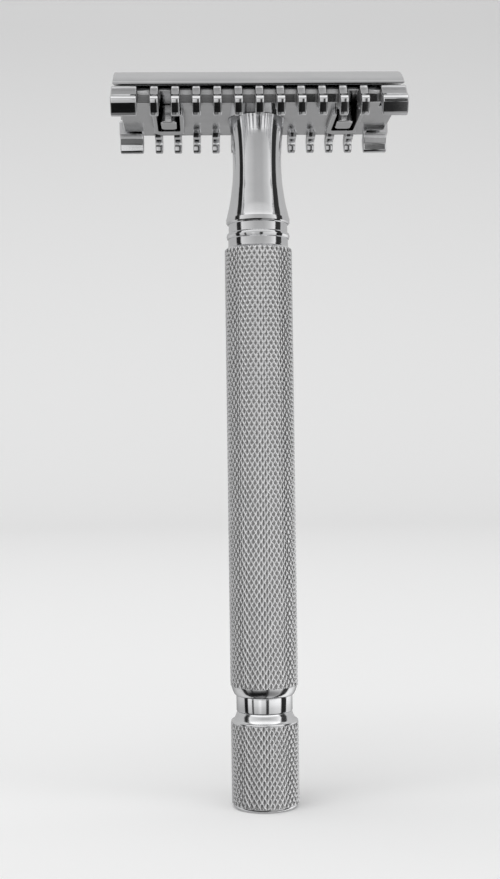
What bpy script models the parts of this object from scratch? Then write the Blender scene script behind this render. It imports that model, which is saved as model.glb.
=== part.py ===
"""Open comb safety razor: cap, blade, comb plate, handle and the draw rod that the end knob turns.

Metres, +Z up along the handle, the head's long side along X. z = 0 is the flat end of the knob.
"""

import math

import bmesh
import bpy

MM = 0.001

# handle, from the bottom up: every height is above the knob's flat end, in mm
KNOB_R = 5.15
KNOB_EDGE = 0.9
KNOB_TOP_Z = 13.1
SHOULDER_R = 4.2
SHOULDER_Z = 14.45
WASHER_T = 0.3
WASHER_R = 3.6
WAIST_R = 4.265
WAIST_TOP_Z = 16.85
BARREL_R = 5.15
BARREL_BORE_R = 4.05
BARREL_FOOT_Z = 16.9
BARREL_FOOT_CHAMFER = (0.75, 1.45)
BARREL_HEAD_Z = 84.85
BARREL_HEAD_CHAMFER = (0.35, 0.3)
COLLAR_SPIGOT_Z = 24.0
ROD_R = 2.0
ROD_FOOT_Z = 3.0
ROD_HEAD_Z = 80.0
CLIP_Z = 24.3
CLIP_T = 0.7
SOCKET_R = 3.2
SOCKET_FOOT_Z = 76.5
SOCKET_HEAD_Z = 92.0
NECK_BORE_R = 2.7
NECK_LOW_BORE_R = 3.3
NECK_FOOT_Z = 79.0
NECK_WIDE_TOP_Z = 92.4

# screw thread of the cap stud, M5
PITCH = 0.8
THREAD_MAJOR_R = 2.45
THREAD_MINOR_R = 2.02
THREAD_CLEAR = 0.12
THREAD_FOOT_Z = 84.0
THREAD_HEAD_Z = 92.3
THREAD_SIDES = 24
STUD_SHANK_R = 2.2
STUD_HEAD_R = 2.5
STUD_TOP_Z = 109.9

# comb plate
UNDER_Z = 104.64
PLATE_CROWN_Z = 108.20
PLATE_TOP_R = 37.0
PLATE_HALF_Y = 10.3
WALL_BREAK_Z = 105.8
FOOT_HALF_Y = 9.8
BODY_HALF_X = 17.9
TONGUE_HALF_X = 20.6
TONGUE_HALF_Y = 7.2
NOTCH_OUT_Y = 9.3
COMB_PITCH = 3.049
TOOTH_W = 1.25
TEETH_A_SIDE = 11
BAR_IN_X = 17.73
BAR_OUT_X = 21.5
TOOTH_TOP = [(10.0, 106.80), (10.75, 106.86), (11.2, 106.32), (11.8, 105.66), (12.5, 105.1)]
TOOTH_NOSE = [(13.0, 104.78), (13.27, 104.42), (13.28, 104.1), (13.1, 103.72)]
TOOTH_TIP = [(12.35, 102.62), (11.95, 102.33), (11.6, 102.3), (11.35, 102.5)]
TOOTH_ROOT = [(11.15, 103.2), (10.7, 103.6), (9.1, 103.82), (8.5, 103.95), (7.9, 104.7)]
BAR_ROOT = [(11.2, 103.6), (10.4, 104.35), (9.9, UNDER_Z), (NOTCH_OUT_Y, UNDER_Z)]

# cap lugs and the slots that take them
LUG_X = 13.4
LUG_HALF_X = 1.25
LUG_HALF_Y = 2.2
LUG_FOOT_Z = 103.7
BOSS_HALF_X = 2.35
BOSS_WALL = 0.62
BOSS_FRONT_Y = -7.2
BOSS_BACK_Y = 5.3
BOSS_DROP = 1.04
POCKET_FRONT_Y = -8.3
POCKET_BACK_Y = 2.9
POCKET_TOP_Z = 106.5
MOUTH_TOP_Z = 106.3
SLOT_HALF = (1.55, 2.6)
SPIGOT_R = 3.35
SPIGOT_Z = 106.8

# blade and cap
BLADE_UNDER_Z = 108.32
BLADE_BEND_R = 45.0
BLADE_T = 0.1
BLADE_HALF_Y = 10.88
BLADE_HALF_X = 21.5
EDGE_HALF_X = 18.7
TAB_HALF_Y = 6.9
CAP_HALF_X = 21.3
CAP_HALF_Y = 10.3
CAP_UNDER_Z = 108.57
CAP_UNDER_R = 42.0
CAP_TOP_R = 16.36
LIP_TOP_Z = 107.7


def clear_scene():
    for obj in list(bpy.data.objects):
        bpy.data.objects.remove(obj, do_unlink=True)


def material(name, colour, roughness):
    made = bpy.data.materials.new(name)
    made.use_nodes = True
    shader = made.node_tree.nodes["Principled BSDF"]
    shader.inputs["Base Color"].default_value = (*colour, 1.0)
    shader.inputs["Metallic"].default_value = 1.0
    shader.inputs["Roughness"].default_value = roughness
    return made


def add_object(name, mesh_data, look=None, smooth=False):
    mesh = bpy.data.meshes.new(name)
    mesh_data.normal_update()
    mesh_data.to_mesh(mesh)
    mesh_data.free()
    obj = bpy.data.objects.new(name, mesh)
    bpy.context.scene.collection.objects.link(obj)
    if look is not None:
        mesh.materials.append(look)
    if smooth:
        mesh.shade_smooth()
        mesh.set_sharp_from_angle(angle=math.radians(35))
    return obj


def hide_helper(obj):
    obj.hide_render = True
    obj.display_type = "WIRE"
    return obj


def lathe(name, loop, look, sides=48):
    """A closed body turned about Z from a closed loop of (radius, z) in mm."""
    shape = bmesh.new()
    rings = []
    for radius, height in loop:
        if radius < 1e-6:
            rings.append([shape.verts.new((0, 0, height * MM))] * sides)
            continue
        ring = []
        for side in range(sides):
            turn = 2 * math.pi * side / sides
            spot = (radius * MM * math.cos(turn), radius * MM * math.sin(turn), height * MM)
            ring.append(shape.verts.new(spot))
        rings.append(ring)
    for index, ring in enumerate(rings):
        after = rings[(index + 1) % len(rings)]
        for side in range(sides):
            step = (side + 1) % sides
            corners = []
            for vert in (ring[side], ring[step], after[step], after[side]):
                if vert not in corners:
                    corners.append(vert)
            if len(corners) > 2:
                shape.faces.new(corners)
    bmesh.ops.recalc_face_normals(shape, faces=shape.faces)
    return add_object(name, shape, look, smooth=True)


def extrude_x(name, outline, x_from, x_to, look=None):
    """A prism along X from a closed outline of (y, z) in mm."""
    shape = bmesh.new()
    ends = []
    for x in (x_from, x_to):
        ends.append([shape.verts.new((x * MM, y * MM, z * MM)) for y, z in outline])
    count = len(outline)
    shape.faces.new(ends[0])
    shape.faces.new(list(reversed(ends[1])))
    for index in range(count):
        step = (index + 1) % count
        shape.faces.new((ends[0][step], ends[0][index], ends[1][index], ends[1][step]))
    bmesh.ops.recalc_face_normals(shape, faces=shape.faces)
    return add_object(name, shape, look)


def extrude_z(name, outline, z_from, z_to):
    """A prism along Z from a closed outline of (x, y) in mm."""
    shape = bmesh.new()
    ends = []
    for z in (z_from, z_to):
        ends.append([shape.verts.new((x * MM, y * MM, z * MM)) for x, y in outline])
    count = len(outline)
    shape.faces.new(ends[0])
    shape.faces.new(list(reversed(ends[1])))
    for index in range(count):
        step = (index + 1) % count
        shape.faces.new((ends[0][step], ends[0][index], ends[1][index], ends[1][step]))
    bmesh.ops.recalc_face_normals(shape, faces=shape.faces)
    return hide_helper(add_object(name, shape))


def circle(radius, sides=32, x=0.0, y=0.0):
    turns = [2 * math.pi * side / sides for side in range(sides)]
    return [(x + radius * math.cos(turn), y + radius * math.sin(turn)) for turn in turns]


def rounded_box(half_x, half_y, radius, x=0.0, y=0.0, steps=4):
    spots = []
    for corner, (sx, sy) in enumerate(((1, 1), (-1, 1), (-1, -1), (1, -1))):
        for step in range(steps + 1):
            turn = math.pi / 2 * (corner + step / steps)
            spot_x = x + sx * (half_x - radius) + radius * math.cos(turn)
            spot_y = y + sy * (half_y - radius) + radius * math.sin(turn)
            spots.append((spot_x, spot_y))
    return spots


def rounded_span(x, half_x, y_from, y_to, radius):
    """A rounded box about x that runs from y_from to y_to."""
    return rounded_box(half_x, (y_to - y_from) / 2, radius, x=x, y=(y_from + y_to) / 2)


def arc_z(crown, bend, y):
    """Height of a cylinder lying along X, whose crown is at this height, at this y."""
    return crown - bend + math.sqrt(bend * bend - y * y)


def arc_line(crown, bend, y_from, y_to, steps):
    spots = []
    for step in range(steps + 1):
        y = y_from + (y_to - y_from) * step / steps
        spots.append((y, arc_z(crown, bend, y)))
    return spots


def join_all(obj, helpers, operation, name):
    group = bpy.data.collections.new(name)
    bpy.context.scene.collection.children.link(group)
    for helper in helpers:
        bpy.context.scene.collection.objects.unlink(helper)
        group.objects.link(helper)
        hide_helper(helper)
    step = obj.modifiers.new(name, "BOOLEAN")
    step.operation = operation
    step.operand_type = "COLLECTION"
    step.collection = group
    step.solver = "EXACT"


def cut(obj, helper):
    step = obj.modifiers.new("cut_" + helper.name, "BOOLEAN")
    step.operation = "DIFFERENCE"
    step.object = helper
    step.solver = "EXACT"


def add(obj, helper):
    step = obj.modifiers.new("add_" + helper.name, "BOOLEAN")
    step.operation = "UNION"
    step.object = helper
    step.solver = "EXACT"


def thread_radius(z, turn, clear):
    """Radius of the trapezoid thread at this height and turn (a share of a full turn)."""
    share = (z / PITCH - turn) % 1.0
    root = THREAD_MINOR_R + clear
    crest = THREAD_MAJOR_R + clear
    knots = ((0.0, root), (0.33, crest), (0.5, crest), (0.83, root), (1.0, root))
    for (a, ra), (b, rb) in zip(knots, knots[1:]):
        if share <= b:
            return ra + (rb - ra) * (share - a) / (b - a)
    return root


def thread_columns(shape, foot, head, clear):
    """One column of vertices up each side of the thread, its knots following the helix."""
    columns = []
    shares = (0.0, 0.33, 0.5, 0.83)
    first = math.floor(foot / PITCH) - 2
    last = math.ceil(head / PITCH) + 2
    for side in range(THREAD_SIDES):
        turn = side / THREAD_SIDES
        column = {}
        for whole in range(first, last):
            for index, share in enumerate(shares):
                z = min(max(PITCH * (whole + share + turn), foot), head)
                key = round(z, 6)
                if key not in column:
                    radius = thread_radius(z, turn, clear)
                    angle = 2 * math.pi * turn
                    spot = (radius * MM * math.cos(angle), radius * MM * math.sin(angle), z * MM)
                    column[key] = shape.verts.new(spot)
        columns.append(column)
    return columns, first, last, shares


def thread_faces(shape, foot, head, clear):
    columns, first, last, shares = thread_columns(shape, foot, head, clear)
    knots = [(whole, share) for whole in range(first, last) for share in shares]

    def at(side, whole, share):
        z = min(max(PITCH * (whole + share + side / THREAD_SIDES), foot), head)
        return columns[side % THREAD_SIDES][round(z, 6)]

    for side in range(THREAD_SIDES):
        for low, high in zip(knots, knots[1:]):
            corners = []
            for vert in (at(side, *low), at(side + 1, *low), at(side + 1, *high), at(side, *high)):
                if vert not in corners:
                    corners.append(vert)
            if len(corners) > 2:
                shape.faces.new(corners)
    bottoms = [column[round(foot, 6)] for column in columns]
    tops = [column[round(head, 6)] for column in columns]
    return bottoms, tops


def turned_ring(shape, radius, height):
    ring = []
    for side in range(THREAD_SIDES):
        turn = 2 * math.pi * side / THREAD_SIDES
        spot = (radius * MM * math.cos(turn), radius * MM * math.sin(turn), height * MM)
        ring.append(shape.verts.new(spot))
    return ring


def bridge(shape, low, high):
    for side in range(THREAD_SIDES):
        step = (side + 1) % THREAD_SIDES
        shape.faces.new((low[side], low[step], high[step], high[side]))


def close_ring(shape, ring, height):
    middle = shape.verts.new((0, 0, height * MM))
    for side in range(THREAD_SIDES):
        shape.faces.new((ring[side], ring[(side + 1) % THREAD_SIDES], middle))


def build_stud(look):
    shape = bmesh.new()
    bottoms, tops = thread_faces(shape, THREAD_FOOT_Z, THREAD_HEAD_Z, 0.0)
    tip = turned_ring(shape, 1.5, THREAD_FOOT_Z - 0.5)
    close_ring(shape, tip, THREAD_FOOT_Z - 0.5)
    bridge(shape, tip, bottoms)
    rings = [tops]
    steps = ((STUD_SHANK_R, THREAD_HEAD_Z + 0.3), (STUD_SHANK_R, 108.75))
    for radius, height in steps + ((STUD_HEAD_R, 108.8), (STUD_HEAD_R, STUD_TOP_Z)):
        rings.append(turned_ring(shape, radius, height))
    for low, high in zip(rings, rings[1:]):
        bridge(shape, low, high)
    close_ring(shape, rings[-1], STUD_TOP_Z)
    bmesh.ops.recalc_face_normals(shape, faces=shape.faces)
    return add_object("cap_stud", shape, look, smooth=True)


def build_socket(look):
    shape = bmesh.new()
    foot = THREAD_FOOT_Z - 2.0
    bottoms, tops = thread_faces(shape, foot, SOCKET_HEAD_Z, THREAD_CLEAR)
    rim = turned_ring(shape, SOCKET_R - 0.25, SOCKET_HEAD_Z)
    bridge(shape, tops, rim)
    outer = [rim]
    for radius, height in ((SOCKET_R, SOCKET_HEAD_Z - 0.25), (SOCKET_R, SOCKET_FOOT_Z)):
        outer.append(turned_ring(shape, radius, height))
    inner_r = ROD_R + 0.05
    outer.append(turned_ring(shape, inner_r, SOCKET_FOOT_Z))
    outer.append(turned_ring(shape, inner_r, ROD_HEAD_Z + 0.2))
    for low, high in zip(outer, outer[1:]):
        bridge(shape, low, high)
    close_ring(shape, outer[-1], ROD_HEAD_Z + 0.2)
    floor = turned_ring(shape, 1.9, foot - 0.6)
    bridge(shape, bottoms, floor)
    close_ring(shape, floor, foot - 0.6)
    bmesh.ops.recalc_face_normals(shape, faces=shape.faces)
    return add_object("thread_socket", shape, look, smooth=True)


def build_handle(chrome, steel, brass):
    knob = [(0, 0), (KNOB_R - KNOB_EDGE, 0), (KNOB_R - 0.35, 0.2), (KNOB_R, KNOB_EDGE)]
    knob += [(KNOB_R, KNOB_TOP_Z - 0.15), (KNOB_R - 0.15, KNOB_TOP_Z), (SHOULDER_R, SHOULDER_Z)]
    knob += [(ROD_R + 0.05, SHOULDER_Z), (ROD_R + 0.05, ROD_FOOT_Z - 0.2), (0, ROD_FOOT_Z - 0.2)]
    lathe("end_knob", knob, chrome)

    low = SHOULDER_Z + 0.05
    washer = [(ROD_R + 0.25, low), (WASHER_R, low)]
    washer += [(WASHER_R, low + WASHER_T), (ROD_R + 0.25, low + WASHER_T)]
    lathe("thrust_washer", washer, brass)

    roof = low + WASHER_T + 0.05
    recess = WASHER_R + 0.05
    spigot = BARREL_BORE_R - 0.05
    collar = [(ROD_R + 0.15, roof), (recess, roof), (recess, low), (WAIST_R - 0.1, low), (WAIST_R, low + 0.1)]
    collar += [(WAIST_R, WAIST_TOP_Z), (spigot, WAIST_TOP_Z), (spigot, COLLAR_SPIGOT_Z)]
    collar += [(ROD_R + 0.15, COLLAR_SPIGOT_Z)]
    lathe("waist_collar", collar, chrome)

    barrel = [(BARREL_BORE_R, BARREL_FOOT_Z), (BARREL_R - BARREL_FOOT_CHAMFER[0], BARREL_FOOT_Z)]
    barrel += [(BARREL_R, BARREL_FOOT_Z + BARREL_FOOT_CHAMFER[1])]
    barrel += [(BARREL_R, BARREL_HEAD_Z - BARREL_HEAD_CHAMFER[1])]
    barrel += [(BARREL_R - BARREL_HEAD_CHAMFER[0], BARREL_HEAD_Z), (BARREL_BORE_R, BARREL_HEAD_Z)]
    lathe("knurled_barrel", barrel, chrome)

    groove = ROD_R - 0.35
    rod = [(0, ROD_FOOT_Z), (ROD_R, ROD_FOOT_Z), (ROD_R, CLIP_Z - 0.05), (groove, CLIP_Z - 0.05)]
    rod += [(groove, CLIP_Z + CLIP_T + 0.05), (ROD_R, CLIP_Z + CLIP_T + 0.05)]
    rod += [(ROD_R, ROD_HEAD_Z), (0, ROD_HEAD_Z)]
    lathe("draw_rod", rod, steel, sides=32)

    profile = [(NECK_LOW_BORE_R, NECK_FOOT_Z), (spigot, NECK_FOOT_Z), (spigot, BARREL_HEAD_Z + 0.05)]
    profile += [(4.62, BARREL_HEAD_Z + 0.05), (4.56, 85.2), (4.56, 86.05), (4.7, 86.2), (4.8, 86.65)]
    profile += [(4.7, 87.0), (4.5, 87.15), (4.47, 88.3), (4.62, 88.45), (4.83, 88.85), (4.84, 89.2)]
    profile += [(4.7, 89.8), (4.37, 91.2), (4.15, 92.4), (3.98, 93.6), (3.83, 94.8), (3.74, 96.1)]
    profile += [(3.70, 97.5), (3.72, 99.0), (3.79, 100.5), (3.92, 102.0), (4.1, 103.3), (4.28, 104.3)]
    profile += [(4.34, UNDER_Z - 0.05), (SPIGOT_R, UNDER_Z - 0.05), (SPIGOT_R, SPIGOT_Z)]
    profile += [(NECK_BORE_R, SPIGOT_Z), (NECK_BORE_R, NECK_WIDE_TOP_Z + 0.3)]
    profile += [(NECK_LOW_BORE_R, NECK_WIDE_TOP_Z)]
    lathe("neck", profile, chrome)


def build_clip(steel):
    outer = 3.3
    inner = ROD_R - 0.3
    half_gap = math.radians(38)
    turns = [half_gap + (2 * math.pi - 2 * half_gap) * step / 28 for step in range(29)]
    spots = [(outer * math.cos(turn), outer * math.sin(turn)) for turn in turns]
    spots += [(inner * math.cos(turn), inner * math.sin(turn)) for turn in reversed(turns)]
    clip = extrude_z("retaining_clip", spots, CLIP_Z, CLIP_Z + CLIP_T)
    clip.hide_render = False
    clip.display_type = "TEXTURED"
    clip.data.materials.append(steel)


def comb_outline(side, root, inner):
    spots = [(inner, arc_z(PLATE_CROWN_Z, PLATE_TOP_R, inner) - 0.01)]
    spots += TOOTH_TOP + TOOTH_NOSE + TOOTH_TIP + root
    return [(side * y, z) for y, z in spots]


def build_plate(look):
    top = arc_line(PLATE_CROWN_Z, PLATE_TOP_R, -PLATE_HALF_Y, PLATE_HALF_Y, 16)
    outline = [(PLATE_HALF_Y, WALL_BREAK_Z), (FOOT_HALF_Y, UNDER_Z)]
    outline += [(-FOOT_HALF_Y, UNDER_Z), (-PLATE_HALF_Y, WALL_BREAK_Z)] + top
    plate = extrude_x("base_plate", outline, -BODY_HALF_X, BODY_HALF_X, look)

    helpers = []
    edge = TONGUE_HALF_Y
    tongue = [(edge, UNDER_Z), (-edge, UNDER_Z)] + arc_line(PLATE_CROWN_Z, PLATE_TOP_R, -edge, edge, 12)
    helpers.append(extrude_x("tongue_helper", tongue, -TONGUE_HALF_X, TONGUE_HALF_X))
    reach = TEETH_A_SIDE // 2
    for side in (-1, 1):
        for tooth in range(-reach, reach + 1):
            x = tooth * COMB_PITCH
            name = f"tooth_helper_{side}_{tooth}"
            shape = comb_outline(side, TOOTH_ROOT, 8.6)
            helpers.append(extrude_x(name, shape, x - TOOTH_W / 2, x + TOOTH_W / 2))
        for end in (-1, 1):
            name = f"bar_helper_{side}_{end}"
            shape = comb_outline(side, BAR_ROOT, NOTCH_OUT_Y)
            spans = sorted((end * BAR_IN_X, end * BAR_OUT_X))
            helpers.append(extrude_x(name, shape, spans[0], spans[1]))
    for end in (-1, 1):
        ring = rounded_span(end * LUG_X, BOSS_HALF_X, BOSS_FRONT_Y, BOSS_BACK_Y, 1.5)
        helpers.append(extrude_z(f"boss_helper_{end}", ring, UNDER_Z - BOSS_DROP, UNDER_Z + 1.0))
    join_all(plate, helpers, "UNION", "comb_helpers")

    cutters = []
    inner = BOSS_HALF_X - BOSS_WALL
    gap_x = COMB_PITCH * 4.5
    gap_half = (COMB_PITCH - TOOTH_W) / 2 - 0.05
    for end in (-1, 1):
        x = end * LUG_X
        inside = rounded_span(x, inner, POCKET_FRONT_Y, POCKET_BACK_Y + 0.05, 0.6)
        cutters.append(extrude_z(f"boss_cutter_{end}", inside, UNDER_Z - 2, UNDER_Z + 0.1))
        pocket = rounded_span(x, inner - 0.03, POCKET_FRONT_Y + 0.1, POCKET_BACK_Y, 0.6)
        cutters.append(extrude_z(f"pocket_cutter_{end}", pocket, UNDER_Z - 2.1, POCKET_TOP_Z))
        mouth = rounded_span(end * gap_x, gap_half, -PLATE_HALF_Y - 1, POCKET_FRONT_Y + 0.5, 0.2)
        cutters.append(extrude_z(f"mouth_cutter_{end}", mouth, UNDER_Z - 2.2, MOUTH_TOP_Z))
        slot = rounded_box(SLOT_HALF[0], SLOT_HALF[1], 0.7, x=x)
        cutters.append(extrude_z(f"slot_cutter_{end}", slot, UNDER_Z - 2.3, PLATE_CROWN_Z + 2))
    cutters.append(extrude_z("spigot_cutter", circle(SPIGOT_R + 0.05, 48), UNDER_Z - 2, SPIGOT_Z + 0.05))
    cutters.append(extrude_z("stud_cutter", circle(NECK_BORE_R + 0.05, 48), UNDER_Z - 2, PLATE_CROWN_Z + 2))
    for cutter in cutters:
        cut(plate, cutter)
    return plate


def build_blade(look):
    under = arc_line(BLADE_UNDER_Z, BLADE_BEND_R, -BLADE_HALF_Y, BLADE_HALF_Y, 20)
    upper = []
    for y, z in reversed(under):
        thick = min(BLADE_T, 0.02 + (BLADE_HALF_Y - abs(y)) * 0.1)
        upper.append((y, z + thick))
    blade = extrude_x("blade", under + upper, -BLADE_HALF_X, BLADE_HALF_X, look)
    low = BLADE_UNDER_Z - 4
    high = BLADE_UNDER_Z + 2
    cut(blade, extrude_z("blade_hole_cutter", circle(3.0, 32), low, high))
    slot = rounded_box(16.6, 1.3, 0.8)
    cut(blade, extrude_z("blade_slot_cutter", slot, low, high))
    for end in (-1, 1):
        cut(blade, extrude_z(f"blade_lug_cutter_{end}", circle(2.75, 28, x=end * LUG_X), low, high))
        for side in (-1, 1):
            spot_x = end * (EDGE_HALF_X + 3)
            spot_y = side * (TAB_HALF_Y + 4)
            notch = rounded_box(3.0, 4.0, 0.5, x=spot_x, y=spot_y)
            cut(blade, extrude_z(f"blade_notch_cutter_{end}_{side}", notch, low - 2, high))
    return blade


def build_cap(look):
    under = arc_line(CAP_UNDER_Z, CAP_UNDER_R, CAP_HALF_Y, -CAP_HALF_Y, 16)
    crown = LIP_TOP_Z + CAP_TOP_R - math.sqrt(CAP_TOP_R**2 - CAP_HALF_Y**2)
    upper = arc_line(crown, CAP_TOP_R, -CAP_HALF_Y, CAP_HALF_Y, 24)
    cap = extrude_x("top_cap", under + upper, -CAP_HALF_X, CAP_HALF_X, look)
    for end in (-1, 1):
        lug = rounded_box(LUG_HALF_X, LUG_HALF_Y, 0.6, x=end * LUG_X)
        add(cap, extrude_z(f"lug_helper_{end}", lug, LUG_FOOT_Z, CAP_UNDER_Z + 1.0))
    hole = circle(STUD_HEAD_R + 0.05, 32)
    cut(cap, extrude_z("stud_head_cutter", hole, CAP_UNDER_Z - 3, STUD_TOP_Z + 0.05))
    return cap


clear_scene()
CHROME = material("chrome_plate", (0.74, 0.74, 0.75), 0.08)
BLADE_STEEL = material("blade_steel", (0.66, 0.67, 0.69), 0.2)
ROD_STEEL = material("rod_steel", (0.5, 0.5, 0.52), 0.3)
BRASS = material("washer_brass", (0.78, 0.6, 0.3), 0.3)
build_handle(CHROME, ROD_STEEL, BRASS)
build_clip(ROD_STEEL)
build_stud(ROD_STEEL)
build_socket(BRASS)
build_plate(CHROME)
build_blade(BLADE_STEEL)
build_cap(CHROME)
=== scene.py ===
"""Looks of the open comb safety razor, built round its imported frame.

Lengths are in mm and heights are above the knob's flat end, as in the frame. The head's long side is X,
and the side that faces the camera is -Y.
"""

import math

import bmesh
import bpy
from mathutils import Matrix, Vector, noise


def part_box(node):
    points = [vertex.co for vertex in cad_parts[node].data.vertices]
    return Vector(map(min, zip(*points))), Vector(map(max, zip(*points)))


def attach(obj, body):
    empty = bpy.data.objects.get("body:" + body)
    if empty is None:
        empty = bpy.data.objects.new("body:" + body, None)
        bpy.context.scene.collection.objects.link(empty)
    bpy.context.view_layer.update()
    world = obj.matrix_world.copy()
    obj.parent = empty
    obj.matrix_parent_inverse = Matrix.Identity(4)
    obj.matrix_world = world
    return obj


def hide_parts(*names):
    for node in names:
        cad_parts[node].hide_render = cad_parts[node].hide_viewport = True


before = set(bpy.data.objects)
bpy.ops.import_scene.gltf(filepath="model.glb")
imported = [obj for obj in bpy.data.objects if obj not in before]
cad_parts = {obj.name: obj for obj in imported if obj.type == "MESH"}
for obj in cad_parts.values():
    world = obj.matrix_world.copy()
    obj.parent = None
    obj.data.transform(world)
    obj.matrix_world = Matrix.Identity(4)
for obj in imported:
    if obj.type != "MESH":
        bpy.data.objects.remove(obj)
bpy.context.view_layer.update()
MM = 0.001


def frame_box(node):
    """Lowest and highest corner of a CAD node, in mm."""
    low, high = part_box(node)
    return low / MM, high / MM


# ------------------------------------------------------------------ sizes, from the frame where it has them

KNOB_HIGH = frame_box("end_knob")[1]
BARREL_LOW, BARREL_HIGH = frame_box("knurled_barrel")
COLLAR_LOW, COLLAR_HIGH = frame_box("waist_collar")
NECK_LOW, NECK_HIGH = frame_box("neck")
PLATE_HIGH = frame_box("base_plate")[1]
BLADE_HIGH = frame_box("blade")[1]
CAP_LOW, CAP_HIGH = frame_box("top_cap")
STUD_HIGH = frame_box("cap_stud")[1]
SOCKET_LOW, SOCKET_HIGH = frame_box("thread_socket")
ROD_LOW, ROD_HIGH = frame_box("draw_rod")
WASHER_LOW, WASHER_HIGH = frame_box("thrust_washer")
CLIP_LOW, CLIP_HIGH = frame_box("retaining_clip")

FIT_GAP = 0.05
ROUND_SIDES = 160

# knurling: two sets of narrow crossing ridges with a shallow diamond between them. The section runs from a
# diamond's edge to its middle, as (share of the way out, share of the depth).
KNURLS_ROUND = 40
KNURL_TALL = 1.35
KNURL_DEPTH = 0.13
KNURL_SECTION = ((1.0, 0.0), (0.9, 0.07), (0.72, 0.55), (0.48, 0.84), (0.24, 1.0))

# handle
KNOB_RIM_Z = 12.72
KNOB_KNURL_LOW_Z = 0.55
SHOULDER_R = 4.2
BARREL_BORE_R = 4.05
WAIST_R = 4.265
SPIGOT_R = 3.35
NECK_BORE_R = 2.7
NECK_LOW_BORE_R = 3.3
NECK_STEP_Z = (92.4, 92.7)
GROOVE_DEPTH = 0.35
CLIP_HALF_GAP_DEG = 38
WASHER_CLEAR = 0.25
COLLAR_CLEAR = 0.15

# comb plate
UNDER_Z = 104.64
PLATE_CROWN_Z = 108.2
PLATE_TOP_BEND = 37.0
PLATE_HALF_Y = 10.3
WALL_BREAK_Z = 105.8
WALL_LEAN = 0.17        # how far the plate's front wall leans back at its top
FOOT_HALF_Y = 9.8
BODY_HALF_X = 17.9
TONGUE_HALF_X = 20.6
TONGUE_HALF_Y = 7.2
NOTCH_OUT_Y = 9.3
COMB_PITCH = 3.049
TOOTH_W = 1.25
TEETH_A_SIDE = 11
BAR_IN_X = 17.73
LUG_X = 13.4
BOSS_HALF_X = 2.35
BOSS_WALL = 0.62
BOSS_DROP = 1.04
BOSS_SPAN_Y = (-7.2, 5.3)
POCKET_SPAN_Y = (-8.3, 2.9)
POCKET_TOP_Z = 106.5
MOUTH_TOP_Z = 106.3
SLOT_HALF = (1.55, 2.6)
EDGE_ROUND = 0.22

# blade
BLADE_UNDER_Z = 108.32
BLADE_BEND = 45.0
BLADE_THICK = 0.1
BLADE_HOLE_R = 3.0
BLADE_LUG_HOLE_R = 2.75
BLADE_SLOT_HALF = (16.6, 1.3)
BLADE_NOTCH_HALF = (3.0, 4.0)
BLADE_NOTCH_X = 21.7
BLADE_NOTCH_Y = 10.9

# cap
LUG_HALF = (1.25, 2.2)
LUG_TOP_Z = 109.5
CAP_UNDER_Z = 108.57
CAP_UNDER_BEND = 42.0
CAP_TOP_BEND = 16.36
LIP_TOP_Z = 107.7
STUD_HOLE_R = 2.55
STUD_HOLE_LOW_Z = 105.5

# screw thread
PITCH = 0.8
THREAD_MAJOR_R = 2.45
THREAD_MINOR_R = 2.02
THREAD_CLEAR = 0.12
THREAD_FOOT_Z = 84.0
THREAD_HEAD_Z = 92.3


# ------------------------------------------------------------------ outlines

def rounded(corners, steps=4):
    """An outline of (a, b, radius) corners, each one with a radius turned into a smooth bend."""
    spots = []
    count = len(corners)
    for index, (a, b, radius) in enumerate(corners):
        here = Vector((a, b))
        if radius == 0:
            spots.append((a, b))
            continue
        before = Vector(corners[index - 1][:2]) - here
        after = Vector(corners[(index + 1) % count][:2]) - here
        half = before.angle(after) / 2
        reach = min(radius / math.tan(half), 0.48 * before.length, 0.48 * after.length)
        radius = reach * math.tan(half)
        middle = (before.normalized() + after.normalized()).normalized()
        centre = here + middle * radius / math.sin(half)
        first = here + before.normalized() * reach - centre
        last = here + after.normalized() * reach - centre
        start = math.atan2(first.y, first.x)
        bend = (math.atan2(last.y, last.x) - start + math.pi) % (2 * math.pi) - math.pi
        for step in range(steps + 1):
            turn = start + bend * step / steps
            spots.append((centre.x + radius * math.cos(turn), centre.y + radius * math.sin(turn)))
    return spots


def curve_through(spots, steps=6):
    """A smooth line through the spots, open at both ends."""
    line = []
    padded = [spots[0], *spots, spots[-1]]
    for p0, p1, p2, p3 in zip(padded, padded[1:], padded[2:], padded[3:]):
        for step in range(steps):
            t = step / steps
            spot = []
            for a, b, c, d in zip(p0, p1, p2, p3):
                bend = (2 * a - 5 * b + 4 * c - d) * t + (-a + 3 * b - 3 * c + d) * t * t
                spot.append(0.5 * (2 * b + (c - a + bend) * t))
            line.append(tuple(spot))
    line.append(tuple(spots[-1]))
    return line


def arc_z(crown, bend, y):
    """Height at y of a cylinder that lies along X with its crown at this height."""
    return crown - bend + math.sqrt(bend * bend - y * y)


def arc_line(crown, bend, y_from, y_to, steps):
    spots = []
    for step in range(steps + 1):
        y = y_from + (y_to - y_from) * step / steps
        spots.append((y, arc_z(crown, bend, y)))
    return spots


def box_outline(half_a, half_b, radius, a=0.0, b=0.0, steps=5):
    corners = []
    for sa, sb in ((1, 1), (-1, 1), (-1, -1), (1, -1)):
        corners.append((a + sa * half_a, b + sb * half_b, radius))
    return rounded(corners, steps)


def span_outline(x, half_x, span_y, radius):
    """A rounded box about x, from span_y[0] to span_y[1]."""
    return box_outline(half_x, (span_y[1] - span_y[0]) / 2, radius, a=x, b=sum(span_y) / 2)


def circle(radius, sides=64, x=0.0, y=0.0):
    turns = [2 * math.pi * side / sides for side in range(sides)]
    return [(x + radius * math.cos(turn), y + radius * math.sin(turn)) for turn in turns]


def counter_clockwise(outline):
    area = sum(a[0] * b[1] - b[0] * a[1] for a, b in zip(outline, outline[1:] + outline[:1]))
    return outline if area > 0 else outline[::-1]


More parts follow.
